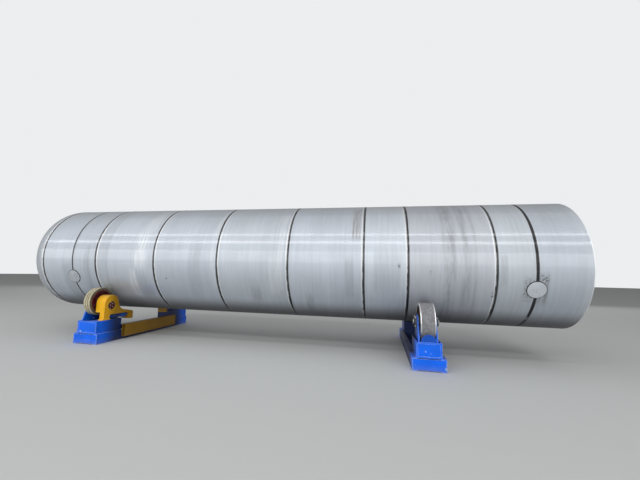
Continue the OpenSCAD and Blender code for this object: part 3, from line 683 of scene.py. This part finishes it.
def bare_steel(tree, tone, stain_tone, roughness):
    """Turned or zinc plated steel with a little tarnish."""
    place = add_node(tree, "TexCoord").outputs["Object"]
    tarnish = add_node(tree, "TexNoise", {"Vector": place, "Scale": 40.0, "Detail": 5.0})
    cover = add_node(tree, "MapRange", {
        "Value": tarnish, "From Min": 0.45, "From Max": 0.7, "To Max": 0.35})
    colour = add_node(tree, "MixRGB", {"Fac": cover, "Color1": tone, "Color2": stain_tone})
    rough = add_node(tree, "MapRange", {"Value": cover, "To Min": roughness, "To Max": 0.7})
    return add_node(tree, "BsdfPrincipled", {"Base Color": colour, "Metallic": 1.0, "Roughness": rough})


turned_steel = make_material("turned_axle_steel", bare_steel, "#b4b4b2", "#6e5a4a", 0.3)
zinc = make_material("zinc_plated_bolt", bare_steel, "#c9c6ba", "#7c5f45", 0.38)
for i, station in enumerate(STATIONS):
    if station.startswith("drive"):
        name, finish = "cream_polyurethane_", ("#bdb498", "#6f6c5c", 0.5)
    else:
        name, finish = "dusty_polyurethane_", ("#88888c", "#5c5b5c", 0.6)
        dress(make_material("machined_steel_" + station, wheel_steel, station), "wheel_" + station)
    dress(make_material(name + station, tyre_rubber, station, *finish, 4.1 * i), "tyre_" + station)
    dress(turned_steel, "axle_" + station)

# %% [markdown]
# ## Modelling by hand
#
# Small pieces are modelled as at the desk: a primitive at its size, edit-mode operators, and modifiers
# that are applied at once. Operators act on all that is selected, so each piece starts by deselecting
# everything. A finished piece keeps its place in its mesh, with its object at the origin, and rides on
# the body that carries it.


# %% Modelling helpers
def start(kind, **sizes):
    """Adds a primitive with nothing else selected."""
    bpy.ops.object.select_all(action="DESELECT")
    getattr(bpy.ops.mesh, f"primitive_{kind}_add")(**sizes)
    return bpy.context.object


def select_where(piece, test, domain="vertices"):
    """Selects the vertices or faces of a piece that pass a test, and leaves it in edit mode."""
    bpy.ops.object.mode_set(mode="OBJECT")
    for parts in (piece.data.vertices, piece.data.edges, piece.data.polygons):
        parts.foreach_set("select", [False] * len(parts))
    for part in getattr(piece.data, domain):
        part.select = test(part)
    bpy.ops.object.mode_set(mode="EDIT")
    bpy.ops.mesh.select_mode(type="FACE" if domain == "polygons" else "VERT")


def finish_modifiers(piece):
    for modifier in list(piece.modifiers):
        bpy.ops.object.modifier_apply(modifier=modifier.name)


def select_only(pieces):
    bpy.ops.object.select_all(action="DESELECT")
    for piece in pieces:
        piece.select_set(True)
    bpy.context.view_layer.objects.active = pieces[0]


def join(pieces):
    """Joins pieces into the first one."""
    select_only(pieces)
    if len(pieces) > 1:
        bpy.ops.object.join()
    return pieces[0]


def copies(piece, places):
    """One joined piece of copies at places, each a location and a turn, and removes the model piece."""
    made = []
    for location, turn in places:
        copy = bpy.data.objects.new(piece.name, piece.data.copy())
        scene.collection.objects.link(copy)
        copy.matrix_world = Matrix.Translation(location) @ turn.to_4x4()
        made.append(copy)
    bpy.data.objects.remove(piece)
    return join(made)


def finished(piece, name, material, body, smooth=35):
    """Fixes a piece's place in its mesh, smooths what bends less than an angle, and sets its body."""
    select_only([piece])
    bpy.ops.object.transform_apply(location=True, rotation=True, scale=True)
    bpy.ops.object.mode_set(mode="EDIT")
    bpy.ops.mesh.select_all(action="SELECT")
    bpy.ops.mesh.remove_doubles(threshold=0.02 * MM)
    bpy.ops.mesh.normals_make_consistent(inside=False)
    bpy.ops.object.mode_set(mode="OBJECT")
    bpy.ops.object.shade_smooth_by_angle(angle=math.radians(smooth))
    piece.name = name
    piece.data.name = name
    piece.data.materials.clear()
    piece.data.materials.append(material)
    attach(piece, body)
    triangles = sum(len(face.vertices) - 2 for face in piece.data.polygons)
    print(f"{name}: {triangles} triangles")
    return piece


TO_RIGHT = Matrix.Rotation(math.pi / 2, 3, "Y")
TO_LEFT = Matrix.Rotation(-math.pi / 2, 3, "Y")
UPRIGHT = Matrix.Identity(3)
SIDES = {"near": -1, "far": 1}

# %% [markdown]
# ## Weld beads round the shell
#
# A girth weld is a flat crowned bead, 18 mm wide and little more than 2 mm high, laid in overlapping
# ripples. A torus is the natural start: it is squeezed flat, and every second ring of its vertices is
# drawn in a little, which leaves the ripples. Half of it lies inside the plate, as a real weld does. The
# same bead, smaller in radius, closes each seam on the inside, and a round one runs along both faces of
# the support rings.


# %% Beads round the vessel
def bead_ring(x, radius, half_width, half_height, steps, depth):
    """A rippled bead round the vessel's axis."""
    sides = 8
    bead = start("torus", location=(x, 0, AXIS_H), rotation=(0, math.pi / 2, 0), major_segments=steps,
                 minor_segments=sides, major_radius=radius, minor_radius=half_height)
    select_where(bead, lambda vertex: (vertex.index // sides) % 2 == 0)
    bpy.ops.transform.shrink_fatten(value=-depth)
    bpy.ops.mesh.select_all(action="SELECT")
    bpy.ops.transform.resize(value=(half_width / half_height, 1, 1), center_override=(x, 0, AXIS_H))
    bpy.ops.object.mode_set(mode="OBJECT")
    return bead


OUTER_STEPS = 1180
INNER_STEPS = 560
INNER_BEAD = (8 * MM, 2 * MM)  # half the width, half the height
RING_FILLET = (8 * MM, 8 * MM)
# The seams at the two support rings have fillets instead
seam_xs = [HEAD_END] + [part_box(f"course_{i}")[1].x for i in range(2, 9)]
outer = [bead_ring(x, SHELL_R, BEAD_W / 2, BEAD_H, OUTER_STEPS, 0.5 * MM) for x in seam_xs]
girth_beads = finished(join(outer), "girth_beads", bead_metal, "vessel", smooth=60)
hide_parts("girth_welds")
inner = [bead_ring(x, SHELL_R - SHELL_T, *INNER_BEAD, INNER_STEPS, 0.4 * MM) for x in seam_xs]
finished(join(inner), "inner_girth_beads", bead_metal, "vessel", smooth=60)
ring_faces = [end.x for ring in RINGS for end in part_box(ring)]
fillets = [bead_ring(x, SHELL_R - SHELL_T, *RING_FILLET, INNER_STEPS, 0.8 * MM) for x in ring_faces]
finished(join(fillets), "ring_fillet_welds", dark_bead_metal, "vessel", smooth=60)

# %% [markdown]
# ## Welds round the support pads
#
# Each round pad lies on the curved shell, so the weld round it is a circle wrapped on a cylinder. It is
# modelled flat, as a torus that stands upright, then a Simple Deform bend wraps it: the bend turns the
# height of the piece into an angle, and an angle of height over radius gives just the curve of the shell.


# %% Pad welds
def pad_weld(x, side):
    """A rippled fillet round a support pad."""
    steps, sides, fillet = 168, 8, 9 * MM
    bead = start("torus", rotation=(math.pi / 2, 0, 0), major_segments=steps, minor_segments=sides,
                 major_radius=PAD_D / 2 + 3 * MM, minor_radius=fillet)
    bpy.ops.object.transform_apply(location=False, rotation=True, scale=False)
    select_where(bead, lambda vertex: (vertex.index // sides) % 2 == 0)
    bpy.ops.transform.shrink_fatten(value=-0.9 * MM)
    bpy.ops.object.mode_set(mode="OBJECT")
    bend = bead.modifiers.new("wrap", "SIMPLE_DEFORM")
    bend.deform_method = "BEND"
    bend.deform_axis = "X"
    bend.angle = bead.dimensions.z / SHELL_R
    finish_modifiers(bead)
    to_shell = Matrix.Translation((x, 0, AXIS_H)) @ Matrix.Rotation(PAD_ANGLE, 4, "X")
    bead.matrix_world = to_shell @ Matrix.Translation((0, -SHELL_R, 0))
    if side == "far":
        half_turn = Matrix.Rotation(math.pi, 4, "Z") @ Matrix.Translation((-2 * x, 0, 0))
        bead.matrix_world = half_turn @ bead.matrix_world
    return bead


pad_welds = [pad_weld(centre_of(ring).x, side) for ring in RINGS for side in SIDES]
finished(join(pad_welds), "pad_welds", dark_bead_metal, "vessel", smooth=60)

# %% [markdown]
# ## Fillet welds on the stands
#
# The seats are welded to their base on three sides, by hand and then painted over, and the lip closes the
# front. Such a run looks like a stack of coins, so one flattened ball is repeated along the joint by an
# array.


# %% Painted fillet welds
def weld_run(begin, end, size):
    """A run of overlapping beads from one point to another."""
    begin, end = Vector(begin), Vector(end)
    ball = start("uv_sphere", segments=8, ring_count=5, radius=size)
    pitch = 1.1 * size
    select_where(ball, lambda vertex: True)
    bpy.ops.transform.resize(value=(0.8, 1, 1), center_override=(0, 0, 0))
    bpy.ops.object.mode_set(mode="OBJECT")
    row = ball.modifiers.new("row", "ARRAY")
    row.use_relative_offset = False
    row.use_constant_offset = True
    row.constant_offset_displace = (pitch, 0, 0)
    row.count = int((end - begin).length / pitch) + 1
    finish_modifiers(ball)
    turn = (end - begin).to_track_quat("X", "Z").to_matrix()
    ball.matrix_world = Matrix.Translation(begin) @ turn.to_4x4()
    return ball


FILLET = 7 * MM
for station in STATIONS:
    low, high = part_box("seat_" + station)
    side = SIDES[station.split("_")[1]]
    if side < 0:
        low = Vector((low.x, low.y + LIP_T, low.z))
    else:
        high = Vector((high.x, high.y - LIP_T, high.z))
    edge = FILLET / 3
    corners = [(low.x - edge, low.y), (high.x + edge, low.y), (high.x + edge, high.y), (low.x - edge, high.y)]
    front = low.y if side < 0 else high.y
    runs = []
    for i, (x, y) in enumerate(corners):
        next_x, next_y = corners[(i + 1) % 4]
        if y == next_y == front:
            continue
        runs.append(weld_run((x, y, low.z), (next_x, next_y, low.z), FILLET))
    finished(join(runs), "seat_weld_" + station, blue, "stands", smooth=60)

# %% [markdown]
# ## Bolts
#
# One hexagon bolt serves everywhere, made once for each thread: a washer, a six-sided head and a small
# chamfer round its top, which makes a bolt head look turned and not cut from a bar.


# %% Hexagon bolts
def hex_bolt(across, head, washer):
    """A bolt head on its washer, standing on the XY plane."""
    plate = start("cylinder", vertices=18, radius=across * 0.95, depth=washer, location=(0, 0, washer / 2))
    select_where(plate, lambda face: face.normal.z > 0.9, "polygons")
    bpy.ops.mesh.bevel(offset=washer * 0.3, segments=1)
    bpy.ops.object.mode_set(mode="OBJECT")
    hexagon = start("cylinder", vertices=6, radius=across / math.sqrt(3), depth=head,
                    location=(0, 0, washer + head / 2))
    select_where(hexagon, lambda face: face.normal.z > 0.9, "polygons")
    bpy.ops.mesh.inset(thickness=across * 0.07, depth=0)
    bpy.ops.transform.translate(value=(0, 0, across * 0.04))
    bpy.ops.object.mode_set(mode="OBJECT")
    return join([plate, hexagon])


def bolt_circle(centre, radius, count, first, turn):
    """Places for copies, on a circle round a centre and in a plane across X."""
    places = []
    for i in range(count):
        angle = first + 2 * math.pi * i / count
        offset = Vector((0, radius * math.cos(angle), radius * math.sin(angle)))
        places.append((centre + offset, turn))
    return places


# Width across the flats, height of the head, thickness of the washer
M16 = (24 * MM, 10 * MM, 3 * MM)
M12 = (18 * MM, 7.5 * MM, 2.5 * MM)
M8 = (13 * MM, 5.3 * MM, 1.6 * MM)
PLUG = (22 * MM, 9 * MM, 4 * MM)
HUB_BOLT_R = 73 * MM

# Bearing flanges: four bolts on each face that looks away from its wheel
CORNER = 78 * MM
for kind in ("drive", "idler"):
    wheel_x = AXLES[kind + "_near"].x
    ear_face = wheel_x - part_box("bearings_" + kind)[0].x - BEARING_L
    faces = [(-ear_face - FLANGE_T, TO_LEFT)]
    if kind == "idler":
        faces.append((ear_face + FLANGE_T, TO_RIGHT))
    places = []
    for side in SIDES:
        axle = AXLES[f"{kind}_{side}"]
        for offset, turn in faces:
            face = Vector((wheel_x + offset, axle.y, axle.z))
            places += bolt_circle(face, CORNER * math.sqrt(2), 4, math.pi / 4, turn)
    finished(copies(hex_bolt(*M16), places), "bearing_bolts_" + kind, zinc, "stands")

# Hub bolts on both sides of each wheel
for station in STATIONS:
    axle = AXLES[station]
    places = []
    for direction, turn in ((-1, TO_LEFT), (1, TO_RIGHT)):
        face = Vector((axle.x + direction * WHEEL_W[station] / 2, axle.y, axle.z))
        places += bolt_circle(face, HUB_BOLT_R, 6, 0.3, turn)
    finished(copies(hex_bolt(*M12), places), "hub_bolts_" + station, zinc, "roll_" + station)

# %% [markdown]
# ## Gearboxes and motors
#
# The gearbox cover is held by small bolts along its raised edge, painted over. Below the axle is a round
# opening, with a bearing cover in it in the same maroon primer as the wheels. A dark maroon sleeve lines
# the opening's wall: it is painted shade, so the opening looks nearly black from a distance. Six bolts
# hold the cover, and a disc with one bolt closes its middle.


# %% Gearbox covers
def ring_disc(outer, inner, thickness, chamfer):
    """A flat ring round Z that stands on the XY plane, with a chamfer round its top."""
    disc = start("circle", vertices=48, radius=outer, fill_type="NGON", location=(0, 0, 0))
    select_where(disc, lambda face: True, "polygons")
    bpy.ops.mesh.inset(thickness=outer - inner, depth=0)
    bpy.ops.mesh.delete(type="FACE")
    bpy.ops.mesh.select_all(action="SELECT")
    bpy.ops.mesh.extrude_region_move(TRANSFORM_OT_translate={"value": (0, 0, thickness)})
    bpy.ops.object.mode_set(mode="OBJECT")
    edge = disc.modifiers.new("chamfer", "BEVEL")
    edge.width = chamfer
    edge.segments = 2
    edge.limit_method = "ANGLE"
    finish_modifiers(disc)
    return disc


WINDOW_DEEP = 45 * MM
WINDOW_R = 90 * MM
WINDOW_DROP = 80 * MM
FACE_EDGE = 16 * MM
HEAD_R = 172 * MM
HEAD_DROP = 25 * MM
COVER_T = 12 * MM
MIDDLE_R = 39 * MM
MIDDLE_T = 7 * MM
COVER_BOLT_R = 66 * MM
ARC_BOLTS = [8 + 22 * i for i in range(8)]  # degrees round the head
EDGE_BOLTS = [75 * MM, 155 * MM, 235 * MM]  # below the head, down the front edge
for side, sign in SIDES.items():
    axle = AXLES["drive_" + side]
    face_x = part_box("gearbox_" + side)[1].x
    seat = Vector((face_x - WINDOW_DEEP, axle.y, axle.z - WINDOW_DROP))
    # Painted shade: the sleeve is a dark lining for the shadow inside the opening.
    sleeve = ring_disc(WINDOW_R - 0.5 * MM, WINDOW_R - 4 * MM, 40 * MM, 1 * MM)
    cover = ring_disc(WINDOW_R - 5 * MM, MIDDLE_R + 1 * MM, COVER_T, 1.5 * MM)
    middle = ring_disc(MIDDLE_R, 6 * MM, MIDDLE_T, 1.5 * MM)
    cover = copies(join([sleeve, cover, middle]), [(seat, TO_RIGHT)])
    finished(cover, "bearing_cover_" + side, maroon, "stands")
    places = bolt_circle(seat + Vector((COVER_T, 0, 0)), COVER_BOLT_R, 6, 0.5, TO_RIGHT)
    places.append((seat + Vector((MIDDLE_T, 0, 0)), TO_RIGHT))
    finished(copies(hex_bolt(*M12), places), "bearing_cover_bolts_" + side, zinc, "stands")
    around = HEAD_R - FACE_EDGE / 2
    head_z = axle.z - HEAD_DROP
    places = []
    for angle in map(math.radians, ARC_BOLTS):
        y = axle.y + sign * around * math.cos(angle)
        places.append((Vector((face_x, y, head_z + around * math.sin(angle))), TO_RIGHT))
    front_y = axle.y + sign * around
    places += [(Vector((face_x, front_y, head_z - drop)), TO_RIGHT) for drop in EDGE_BOLTS]
    finished(copies(hex_bolt(*M8), places), "gearbox_bolts_" + side, yellow, "stands")

# %% [markdown]
# A totally enclosed motor breathes through a wire guard over its fan. The guard is three rings of wire on
# four spokes, just proud of the cowl. The gearbox stands on two large bolts at the front of its foot, and
# its oil plugs are painted over. The bearings are greased through nipples on top.

# %% Fan guards, foot bolts, plugs and grease nipples
WIRE = 1.6 * MM
WIRE_RINGS = [13 * MM, 25 * MM, 37 * MM]
SPOKE_L = 84 * MM
INLET_R = 39 * MM
INLET_T = 1.2 * MM


def fan_guard(place, direction):
    """Wire guard across Y, and a black disc behind it: painted shadow in the inlet."""
    parts = [start("torus", major_segments=40, minor_segments=6, major_radius=radius,
                   minor_radius=WIRE, location=place, rotation=(math.pi / 2, 0, 0)) for radius in WIRE_RINGS]
    parts += [start("cylinder", vertices=6, radius=WIRE, depth=SPOKE_L, location=place,
                    rotation=(0, turn * math.pi, 0)) for turn in (0.25, 0.75)]
    dark = start("cylinder", vertices=40, radius=INLET_R, depth=INLET_T, location=place,
                 rotation=(math.pi / 2, 0, 0))
    select_where(dark, lambda face: abs(face.normal.z) > 0.9, "polygons")
    bpy.ops.mesh.inset(thickness=4 * MM, depth=0)
    bpy.ops.object.mode_set(mode="OBJECT")
    dark.location.y -= direction * INLET_T
    return join(parts), dark


MOTOR_R = 50 * MM
FOOT_W = 110 * MM
FOOT_T = 22 * MM
FOOT_BOLTS = [26 * MM, 84 * MM]
FACE_RISE = 8 * MM
# Inwards and up from the axle
OIL_PLUGS = [(20 * MM, 72 * MM), (330 * MM, -232 * MM), (-100 * MM, -250 * MM)]
fan_black = make_material("fan_shadow_black", bare_steel, "#1b1c1e", "#2a2725", 0.8)
for side, sign in SIDES.items():
    low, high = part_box("motor_" + side)
    end_y = low.y if sign < 0 else high.y
    centre = Vector((low.x + MOTOR_R, end_y + sign * 0.5 * MM, (low.z + high.z) / 2))
    guard, dark = fan_guard(centre, sign)
    finished(guard, "fan_guard_" + side, zinc, "stands", smooth=60)
    finished(dark, "fan_inlet_" + side, fan_black, "stands")
    gear_low, gear_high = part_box("gearbox_" + side)
    toe_y = gear_low.y if sign < 0 else gear_high.y
    foot_top = gear_low.z + FOOT_T
    foot_x = gear_high.x - FOOT_W
    places = [(Vector((foot_x + along, toe_y - sign * 16 * MM, foot_top)), UPRIGHT) for along in FOOT_BOLTS]
    finished(copies(hex_bolt(*M16), places), "foot_bolts_" + side, zinc, "stands")
    axle = AXLES["drive_" + side]
    plugs = [(Vector((gear_high.x - FACE_RISE, axle.y - sign * inwards, axle.z + up)), TO_RIGHT)
             for inwards, up in OIL_PLUGS]
    finished(copies(hex_bolt(*PLUG), plugs), "oil_plugs_" + side, yellow, "stands")


def grease_nipple():
    """A nipple: a hexagon foot, a neck and a round head."""
    foot = start("cylinder", vertices=6, radius=6 * MM, depth=5 * MM, location=(0, 0, 2.5 * MM))
    select_where(foot, lambda face: face.normal.z > 0.9, "polygons")
    bpy.ops.mesh.inset(thickness=3 * MM, depth=0)
    bpy.ops.mesh.extrude_region_move(TRANSFORM_OT_translate={"value": (0, 0, 5 * MM)})
    bpy.ops.mesh.extrude_region_move(TRANSFORM_OT_translate={"value": (0, 0, 3 * MM)})
    bpy.ops.transform.resize(value=(1.5, 1.5, 1))
    bpy.ops.mesh.bevel(offset=1 * MM, segments=2)
    bpy.ops.object.mode_set(mode="OBJECT")
    return foot


BEARING_R = 75 * MM
NIPPLE_IN = 14 * MM
for kind in ("drive", "idler"):
    low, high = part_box("bearings_" + kind)
    xs = [low.x + NIPPLE_IN] + ([high.x - NIPPLE_IN] if kind == "idler" else [])
    places = [(Vector((x, AXLES[f"{kind}_{side}"].y, AXLES[f"{kind}_{side}"].z + BEARING_R)), UPRIGHT)
              for side in SIDES for x in xs]
    finished(copies(grease_nipple(), places), "grease_nipples_" + kind, zinc, "stands")

# %% [markdown]
# ## Finish
#
# The last cell measures the box of the dressed model.

# %% Measure the dressed model
low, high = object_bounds()
